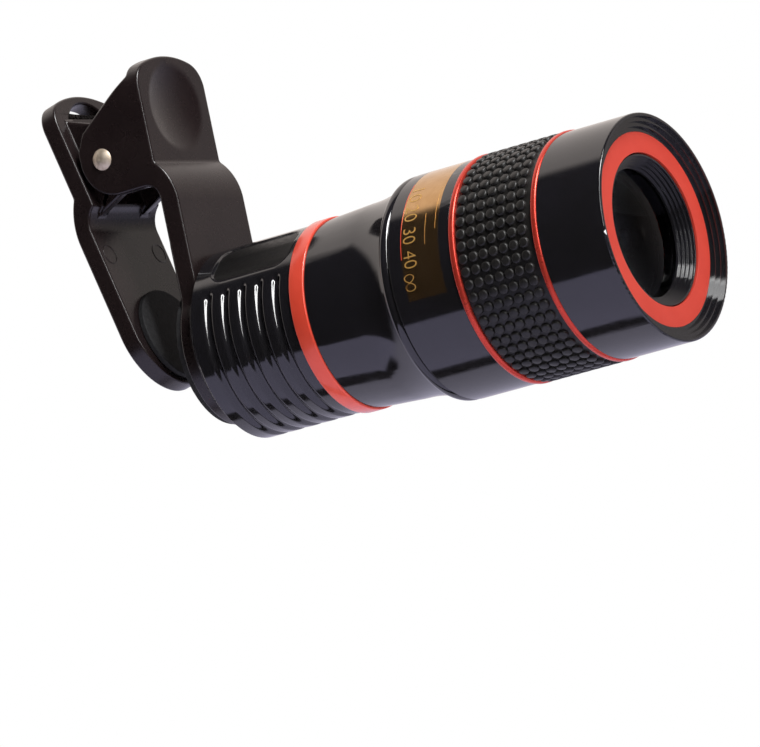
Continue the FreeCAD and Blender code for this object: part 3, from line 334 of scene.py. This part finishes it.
# the nodes whose own mesh stays, by their finish
plainNodes = [
    (mattAnodised, ("mount_ring",)),
    (flockPaint, ("inner_tube", "glare_stop", "eyepiece_cell", "eyepiece_spacer",
                  "eyepiece_retainer", "objective_cell")),
    (coatedGlass, ("eyepiece_rear_lens", "eyepiece_front_lens", "objective_crown",
                   "objective_flint")),
    (greasedFelt, ("seal_ring",)),
    (drawnSteel, ("stop_screw",)),
]
for material, names in plainNodes:
    for node in names:
        nodes[node].data.materials.clear()
        nodes[node].data.materials.append(material)
print("nodes kept:", sum(len(names) for material, names in plainNodes))

# the pin's place, and how far to each side of its middle the spring's coils end, in mm
pin = {"depth": 7.1, "height": 29.4}
spring = {"coilEnd": 2.55, "sharp": 40}


def makeSpring():
    # the node's spring copied as it stands, its loose triangles joined and its faces smoothed,
    # fixed in place
    bm, mesh = mergedCopy("torsion_spring")
    mesh.name = "woundSpring"
    piece = placePiece("woundSpring", finishMesh(bm, mesh, spring["sharp"]), drawnSteel)
    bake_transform(piece)
    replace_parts(piece, "torsion_spring")
    print("spring made")


makeSpring()

grip = {
    # the plain sleeve's radii and ends
    "inner": 15.2, "base": 15.72, "start": 50.4, "end": 62.75, "around": 112,
    # one stud: its radii, the radius that its top reaches, how deep its foot is sunk, its edge
    "footRadius": 0.79, "topRadius": 0.70, "crest": 16.16, "sunk": 0.1, "edge": 0.2,
    "sides": 12, "facets": 2,
    # the rows of studs, and the angle of the first one up from the -X side
    "firstStud": 51.37, "pitch": 1.64, "columns": 7, "rows": 56, "phase": 4.02, "sharp": 50}


def copyRound(bm, parts, shift, turn):
    # a copy of these parts, moved along the barrel and turned round it
    made = bmesh.ops.duplicate(bm, geom=parts)["geom"]
    moved = [item for item in made if isinstance(item, bmesh.types.BMVert)]
    bmesh.ops.translate(bm, verts=moved, vec=(0, shift, 0))
    bmesh.ops.rotate(bm, verts=moved, cent=onAxis, matrix=Matrix.Rotation(turn, 3, "Y"))
    return made


def makeGrip():
    # one stud, with its top edge rounded
    foot = grip["base"] - grip["sunk"]
    depth = (grip["crest"] - foot) * mm
    bm = bmesh.new()
    bmesh.ops.create_cone(bm, cap_ends=True, segments=grip["sides"],
                          radius1=grip["footRadius"] * mm, radius2=grip["topRadius"] * mm,
                          depth=depth)
    crest = [edge for edge in bm.edges if all(v.co.z > 0 for v in edge.verts)]
    bmesh.ops.translate(bm, verts=bm.verts, vec=(0, 0, foot * mm + depth / 2))
    bmesh.ops.bevel(bm, geom=crest, offset=grip["edge"] * mm, segments=grip["facets"],
                    profile=0.5, affect="EDGES", material=-1)
    bmesh.ops.translate(bm, verts=bm.verts, vec=(0, -grip["firstStud"] * mm, 0))
    bmesh.ops.rotate(bm, verts=bm.verts, cent=onAxis,
                     matrix=Matrix.Rotation(math.radians(grip["phase"] - 90), 3, "Y"))
    # a row of studs along the barrel, then all the rows round it
    stud = bm.verts[:] + bm.edges[:] + bm.faces[:]
    row = list(stud)
    for column in range(1, grip["columns"]):
        row += copyRound(bm, stud, -grip["pitch"] * mm * column, 0.0)
    for step in range(1, grip["rows"]):
        copyRound(bm, row, 0.0, fullTurn * step / grip["rows"])
    # the plain sleeve under the studs
    outline = [(-station * mm, radius * mm) for station, radius in (
        (grip["start"], grip["inner"]), (grip["start"], grip["base"]),
        (grip["end"], grip["base"]), (grip["end"], grip["inner"]))]
    turnOutline(bm, outline, grip["around"])
    bmesh.ops.recalc_face_normals(bm, faces=bm.faces)
    mesh = finishMesh(bm, bpy.data.meshes.new("studdedSleeve"), grip["sharp"])
    piece = addPiece("studdedSleeve", mesh, studdedRubber, frontBody)
    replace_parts(piece, "grip_sleeve")
    print("grip studs:", grip["rows"] * grip["columns"], "faces:", len(mesh.polygons))


makeGrip()

ribbed = {
    # the tube: its ends, its radii, the back wall, the bevels, and the facets along and round it
    "start": 3.85, "end": 21.4, "radius": 13.4, "bore": 12.0, "thread": 8.5, "wall": 2.15,
    "bevel": 0.9, "lip": 0.1, "step": 0.13, "around": 300, "skin": 0.05, "sharp": 40,
    # the five grooves: their width, depth and flanks, and how far they reach from straight down
    "first": 7.475, "pitch": 2.85, "count": 5, "half": 0.575, "depth": 0.55, "reach": 117.5,
    "flank": (0.15, 1.5),
    # the sunk label panel: its place, its half sizes, its corners and edge, and its flat floor
    "centre": 13.85, "halfLength": 6.6, "turn": 55.0, "halfTurn": 18.0, "corner": 2.4,
    "edge": (-0.35, 0.1), "sunk": 0.25, "flatTurn": 50.0, "flat": 13.05, "leastSlope": 0.5,
    # the share of the panel's depth past which it is matt, and how deep its floor may lie
    "mattFrom": 0.9, "mattDepth": 0.9}


def softStep(span, value):
    low, high = span
    share = min(1.0, max(0.0, (value - low) / (high - low)))
    return share * share * (3 - 2 * share)


def grooveShare(station, below):
    # how far into a groove a point lies, its ends rounded; below is the angle from straight down
    past = max(0.0, abs(below) - math.radians(ribbed["reach"])) * ribbed["radius"]
    nearest = min(abs(station - ribbed["first"] - ribbed["pitch"] * k)
                  for k in range(ribbed["count"]))
    return 1 - softStep(ribbed["flank"], math.hypot(nearest, past) / ribbed["half"])


def panelShare(station, turn):
    # how far into the label panel a point lies; turn is the angle up from the -X side
    across = abs(turn - math.radians(ribbed["turn"])) - math.radians(ribbed["halfTurn"])
    across = across * ribbed["radius"] + ribbed["corner"]
    along = abs(station - ribbed["centre"]) - ribbed["halfLength"] + ribbed["corner"]
    outside = math.hypot(max(across, 0), max(along, 0)) + min(max(across, along), 0)
    return 1 - softStep(ribbed["edge"], outside - ribbed["corner"])


def makeRibbedBarrel():
    # a finely divided tube, its skin pressed in where the grooves and the panel are
    bm = bmesh.new()
    start, end, radius = ribbed["start"], ribbed["end"], ribbed["radius"]
    bevelEnd, wallEnd = start + ribbed["bevel"], start + ribbed["wall"]
    run = [bevelEnd + ribbed["step"] * k for k in range(1, int((end - bevelEnd) / ribbed["step"]))]
    outline = [(start, ribbed["thread"]), (start, radius - ribbed["bevel"]), (bevelEnd, radius)]
    outline += [(station, radius) for station in run]
    outline += [(end - ribbed["lip"], radius), (end, radius - ribbed["lip"]),
                (end, ribbed["bore"]), (wallEnd, ribbed["bore"]), (wallEnd, ribbed["thread"])]
    turnOutline(bm, [(-station * mm, high * mm) for station, high in outline], ribbed["around"])
    for vert in bm.verts:
        if math.hypot(vert.co.x, vert.co.z) < (radius - ribbed["skin"]) * mm:
            continue
        station = -vert.co.y / mm
        turn = math.atan2(vert.co.z, -vert.co.x)
        below = math.atan2(vert.co.x, -vert.co.z)
        # the panel's flat floor as a radius, its cosine held off zero far from the panel
        slope = max(ribbed["leastSlope"], math.cos(turn - math.radians(ribbed["flatTurn"])))
        floor = min(radius - ribbed["sunk"], ribbed["flat"] / slope)
        high = radius - ribbed["depth"] * grooveShare(station, below)
        high -= (radius - floor) * panelShare(station, turn)
        vert.co.x *= high / radius
        vert.co.z *= high / radius
    bmesh.ops.recalc_face_normals(bm, faces=bm.faces)
    mesh = finishMesh(bm, bpy.data.meshes.new("ribbedRearBarrel"), ribbed["sharp"])
    piece = addPiece("ribbedRearBarrel", mesh, blackLacquer, rootBody)
    mesh.materials.append(mattAnodised)
    for face in mesh.polygons:
        middle = face.center / mm
        if middle.z > 0 and math.hypot(middle.x, middle.z) > radius - ribbed["mattDepth"]:
            share = panelShare(-middle.y, math.atan2(middle.z, -middle.x))
            face.material_index = int(share > ribbed["mattFrom"])
    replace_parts(piece, "rear_housing")
    print("ribbed barrel faces:", len(mesh.polygons))


makeRibbedBarrel()

# the rear jaw's tilt and the place of its inner face behind the pin, and the two round marks that
# the ejector pins leave there
jaw = {"tilt": 14.0, "inner": 6.4}
ejectorMark = {"across": 6.2, "drop": -11.6, "radius": 1.4, "wire": 0.07, "sides": 8,
               "around": 40, "sharp": 60}


def makeEjectorMark(name, side):
    bm = bmesh.new()
    upright = Matrix.Rotation(math.pi / 2, 3, "X")
    tilted = Matrix.Rotation(-math.radians(jaw["tilt"]), 3, "X")
    bmesh.ops.create_circle(bm, segments=ejectorMark["sides"], radius=ejectorMark["wire"] * mm)
    bmesh.ops.rotate(bm, verts=bm.verts, cent=onAxis, matrix=upright)
    bmesh.ops.translate(bm, verts=bm.verts, vec=(ejectorMark["radius"] * mm, 0, 0))
    bmesh.ops.spin(bm, geom=bm.verts[:] + bm.edges[:], cent=onAxis, axis=(0, 0, 1),
                   angle=fullTurn, steps=ejectorMark["around"], use_merge=True)
    bmesh.ops.rotate(bm, verts=bm.verts, cent=onAxis, matrix=upright)
    # on the jaw's face, and with the jaw to its tilt about the pin
    bmesh.ops.translate(bm, verts=bm.verts, vec=(
        side * ejectorMark["across"] * mm, jaw["inner"] * mm, ejectorMark["drop"] * mm))
    bmesh.ops.rotate(bm, verts=bm.verts, cent=onAxis, matrix=tilted)
    bmesh.ops.translate(bm, verts=bm.verts, vec=(0, pin["depth"] * mm, pin["height"] * mm))
    bmesh.ops.recalc_face_normals(bm, faces=bm.faces)
    mesh = finishMesh(bm, bpy.data.meshes.new(name), ejectorMark["sharp"])
    addPiece(name, mesh, satinAbs, jawBody)


for number, side in enumerate((-1, 1)):
    makeEjectorMark("ejectorMark%d" % number, side)
print("ejector marks made")

scale = {
    # the foil's outer radius, thickness and depth in the film
    "radius": 15.965, "thick": 0.03, "sunk": 0.02,
    # the numerals: the station of their feet, their height, and how much the font is thinned
    "foot": 42.0, "height": 2.0, "thin": -0.014, "extrude": 0.5, "smooth": 6,
    # the infinity sign, against the numerals
    "signHeight": 0.8, "signThin": 4,
    # numeral, its first and last angle up from the -X side
    "numerals": [("10", 53.6, 44.3), ("20", 41.3, 31.9), ("30", 27.8, 19.4), ("40", 15.7, 6.9),
                 ("\u221e", 4.2, -4.2)],
    # station, width, first and last angle and finish of the thin lines
    # the two gold lines are painted highlights: the glints of two fine ridges on the film, drawn
    # in gold only over the arcs where they shine
    "lines": [(45.55, 0.05, 17.0, 34.0, goldFoilAndPaintedGlint), (47.2, 0.04, 24.0, 50.0, goldFoilAndPaintedGlint),
              (41.62, 0.08, 12.0, 60.0, redEnamel)],
    "lineSteps": 60, "lineGap": 0.0005, "sharp": 40}


def aroundBarrel(angle, station, radius):
    turn = math.radians(angle)
    return Vector((-radius * mm * math.cos(turn), -station * mm, radius * mm * math.sin(turn)))


def makeNumeral(numeral, first, last):
    # the font's own outline, laid round the barrel
    isSign = not numeral.isdigit()
    text = bpy.data.curves.new("numeral", "FONT")
    text.body = numeral
    text.extrude = scale["extrude"]
    text.resolution_u = scale["smooth"]
    text.offset = scale["thin"] * (scale["signThin"] if isSign else 1)
    holder = bpy.data.objects.new("numeral", text)
    scene.collection.objects.link(holder)
    bpy.context.view_layer.update()
    mesh = bpy.data.meshes.new_from_object(holder)
    bpy.data.objects.remove(holder)
    low = [min(v.co[axis] for v in mesh.vertices) for axis in range(3)]
    high = [max(v.co[axis] for v in mesh.vertices) for axis in range(3)]
    tall = scale["height"] * (scale["signHeight"] if isSign else 1)
    foot = scale["foot"] - (scale["height"] - tall)
    for v in mesh.vertices:
        along, up, out = ((v.co[axis] - low[axis]) / (high[axis] - low[axis])
                          for axis in range(3))
        v.co = aroundBarrel(first + (last - first) * along, foot + tall * up,
                            scale["radius"] - scale["sunk"] + scale["thick"] * out)
    mesh.name = "numeral" + ("Infinity" if isSign else numeral)
    addPiece(mesh.name, mesh, goldFoilAndPaintedGlint, frontBody)


def makeScaleLine(name, station, width, first, last, material):
    bm = bmesh.new()
    near, far = station - width / 2, station + width / 2
    top, bottom = scale["radius"], scale["radius"] - scale["thick"]
    corners = [bm.verts.new(aroundBarrel(first, at, radius)) for at, radius in (
        (near, bottom), (near, top), (far, top), (far, bottom))]
    bmesh.ops.spin(bm, geom=[bm.faces.new(corners)], cent=onAxis, axis=barrelAxis,
                   angle=math.radians(last - first), steps=scale["lineSteps"])
    bmesh.ops.remove_doubles(bm, verts=bm.verts, dist=scale["lineGap"] * mm)
    bmesh.ops.recalc_face_normals(bm, faces=bm.faces)
    mesh = finishMesh(bm, bpy.data.meshes.new(name), scale["sharp"])
    addPiece(name, mesh, material, frontBody)


for numeral in scale["numerals"]:
    makeNumeral(*numeral)
print("numerals made:", len(scale["numerals"]))
for number, line in enumerate(scale["lines"]):
    makeScaleLine("scaleLine%d" % number, *line)
print("scale lines made:", len(scale["lines"]))

# the photograph's view, a long lens a little below the barrel: degrees, mm from the point on the
# axis at the shift, and the focal length and the frame's width in pixels
view = {"azimuth": -58.42, "elevation": -5.78, "roll": -11.9, "distance": 1254.8,
        "across": 21.16, "up": -3.36, "shift": -1.4795,
        "focal": 9000, "frame": 760, "sensor": 36, "reach": 20}


def makeCamera():
    azimuth, elevation, roll = (math.radians(view[k]) for k in ("azimuth", "elevation", "roll"))
    back = Vector((math.sin(azimuth) * math.cos(elevation),
                   -math.cos(azimuth) * math.cos(elevation), math.sin(elevation)))
    level = Vector((math.cos(azimuth), math.sin(azimuth), 0))
    rise = back.cross(level)
    right = level * math.cos(roll) + rise * math.sin(roll)
    up = rise * math.cos(roll) - level * math.sin(roll)
    place = right * view["across"] + up * view["up"] + back * view["distance"]
    place.y += view["shift"]
    data = bpy.data.cameras.new("photoView")
    data.lens = view["focal"] / view["frame"] * view["sensor"]
    data.sensor_width = view["sensor"]
    data.clip_end = view["reach"]
    camera = bpy.data.objects.new("photoView", data)
    camera.matrix_world = Matrix((
        (right.x, up.x, back.x, place.x * mm), (right.y, up.y, back.y, place.y * mm),
        (right.z, up.z, back.z, place.z * mm), (0, 0, 0, 1)))
    scene.collection.objects.link(camera)
    scene.camera = camera
    return back


towardCamera = makeCamera()

# the studio: a pale table and a sweep behind the object, and a dark room on the camera's side
studio = {
    "table": "#cfcbee", "sweep": "#fff4ee", "lowSweep": "#d4d0e8", "room": "#101013",
    # how one fades into the next: the part of the direction that counts, where the fade starts
    # and ends on it, and its values there
    "fades": {"tableTop": ("Z", -0.44, -0.475, 0.0, 1.0),
              "sweepHeight": ("Z", -0.2, 0.2, 0.0, 1.0),
              # the sweep hardly reaches round to the front
              "behind": ("facing", -0.17, -0.31, 0.0, 1.0),
              "round": ("Y", -0.85, 0.35, 0.2, 1.0),
              # the table's far edge, a dark line
              "edgeNear": ("facing", -0.15, -0.18, 0.0, 1.0),
              "edgeFar": ("facing", -0.36, -0.30, 0.0, 1.0),
              "edgeHeight": ("Z", -0.6, -0.7, 0.0, 1.0)},
    # shares that are several fades at once
    "products": {"sweepShare": ("behind", "round"),
                 "edgeShare": ("edgeNear", "edgeFar", "edgeHeight")},
    # each mix: its share, and what it mixes
    "mixes": {"tableView": ("tableTop", "room", "table"),
              "sweepView": ("sweepHeight", "lowSweep", "sweep"),
              "litView": ("sweepShare", "tableView", "sweepView"),
              "wholeView": ("edgeShare", "litView", "room")},
    "seen": "#ffffff",
    "floor": "#f4f4f4", "floorRough": 0.9, "floorHeight": -160.0, "floorRadius": 3000.0,
    "floorSides": 96}


def makeWorld():
    world = bpy.data.worlds.new("studio")
    scene.world = world
    world.use_nodes = True
    tree = world.node_tree
    tree.nodes.clear()
    away = addNode(tree, "ShaderNodeTexCoord").outputs["Generated"]
    axes = addNode(tree, "ShaderNodeSeparateXYZ", None, {0: away}).outputs
    facing = addNode(tree, "ShaderNodeVectorMath",
                     {"operation": "DOT_PRODUCT", 1: towardCamera}, {0: away})
    parts = {"Y": axes["Y"], "Z": axes["Z"], "facing": facing.outputs["Value"]}
    shares = {}
    for name, (part, low, high, atLow, atHigh) in studio["fades"].items():
        shares[name] = addNode(tree, "ShaderNodeMapRange", {
            "interpolation_type": "SMOOTHSTEP", "From Min": low, "From Max": high,
            "To Min": atLow, "To Max": atHigh}, {"Value": parts[part]}).outputs[0]
    for name, (first, *others) in studio["products"].items():
        shares[name] = shares[first]
        for other in others:
            shares[name] = addNode(tree, "ShaderNodeMath", {"operation": "MULTIPLY"},
                                   {0: shares[name], 1: shares[other]}).outputs[0]
    made = {}
    for name, (share, first, second) in studio["mixes"].items():
        settings = {"data_type": "RGBA"}
        links = {mixShare: shares[share]}
        for socket, source in ((mixFirst, first), (mixSecond, second)):
            if source in made:
                links[socket] = made[source]
            else:
                settings[socket] = studio[source]
        made[name] = addNode(tree, "ShaderNodeMix", settings, links).outputs[mixResult]
    # the object sees the room, and the camera sees white
    around = addNode(tree, "ShaderNodeBackground", None, {"Color": made["wholeView"]})
    white = addNode(tree, "ShaderNodeBackground", {"Color": studio["seen"]})
    path = addNode(tree, "ShaderNodeLightPath")
    choice = addNode(tree, "ShaderNodeMixShader", None, {
        0: path.outputs["Is Camera Ray"], 1: around.outputs[0], 2: white.outputs[0]})
    addNode(tree, "ShaderNodeOutputWorld", None, {"Surface": choice.outputs[0]})


makeWorld()

# name, direction from the barrel, distance and size in mm, watts
lamps = [
    ("frontTop", (-0.17, -0.58, 0.8), 700, (240, 240), 4.0),
    ("edgeStrip", (-0.434, -0.757, 0.467), 900, (100, 820), 4.5),
]
lampAim = (0, -30, 8)


def makeLamp(name, direction, distance, extent, watts):
    data = bpy.data.lights.new(name, "AREA")
    data.shape = "RECTANGLE"
    data.size, data.size_y = extent[0] * mm, extent[1] * mm
    data.energy = watts
    lamp = bpy.data.objects.new(name, data)
    way = Vector(direction).normalized()
    lamp.location = Vector([value * mm for value in lampAim]) + way * distance * mm
    lamp.rotation_euler = way.to_track_quat("Z", "Y").to_euler()
    scene.collection.objects.link(lamp)


for lamp in lamps:
    makeLamp(*lamp)


def makeFloor():
    bm = bmesh.new()
    bmesh.ops.create_circle(bm, cap_ends=True, segments=studio["floorSides"],
                            radius=studio["floorRadius"] * mm)
    bmesh.ops.translate(bm, verts=bm.verts, vec=(0, 0, studio["floorHeight"] * mm))
    mesh = bpy.data.meshes.new("studioFloor")
    bm.to_mesh(mesh)
    bm.free()
    # studio paper, even and matt
    floor = placePiece("studioFloor", mesh, makeFinish("paleStudioPaper", {
        "Base Color": studio["floor"], "Roughness": studio["floorRough"]}, {}))
    floor.visible_glossy = False


makeFloor()
scene.view_settings.view_transform = "Standard"
print("camera, world, lamps and floor made")
